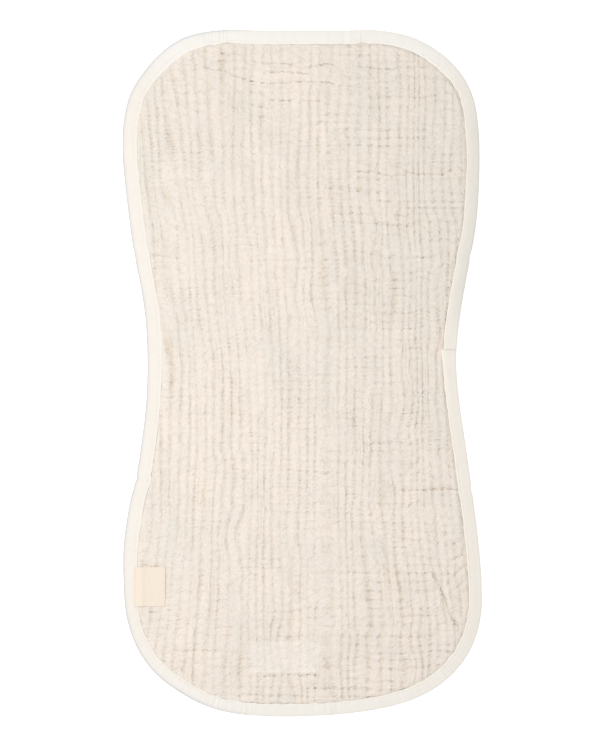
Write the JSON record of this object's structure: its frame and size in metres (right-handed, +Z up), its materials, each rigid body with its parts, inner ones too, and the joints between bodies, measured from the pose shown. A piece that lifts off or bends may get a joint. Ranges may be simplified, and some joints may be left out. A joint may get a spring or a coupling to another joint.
{
  "type": "contoured burp cloth",
  "caption": "Hourglass burp cloth of crinkled cotton muslin with a bias-bound edge and a small bare side tab, laid out flat.",
  "frame": {"origin": "on the surface the cloth lies on, under the middle of its bounding box", "axes": "+Y along the cloth's length towards its squarer end, +X across it with the side tab at -X, +Z up through its ribbed face"},
  "size_m": [0.272, 0.52, 0.0038],
  "materials": {
    "muslin": "matt, crinkled",
    "binding_tape": "matt, plain weave",
    "tab_ribbon": "matt, woven"
  },
  "bodies": {
    "root": {"panel": "muslin", "binding": "binding_tape", "side_tab": "tab_ribbon"}
  },
  "joints": []
}
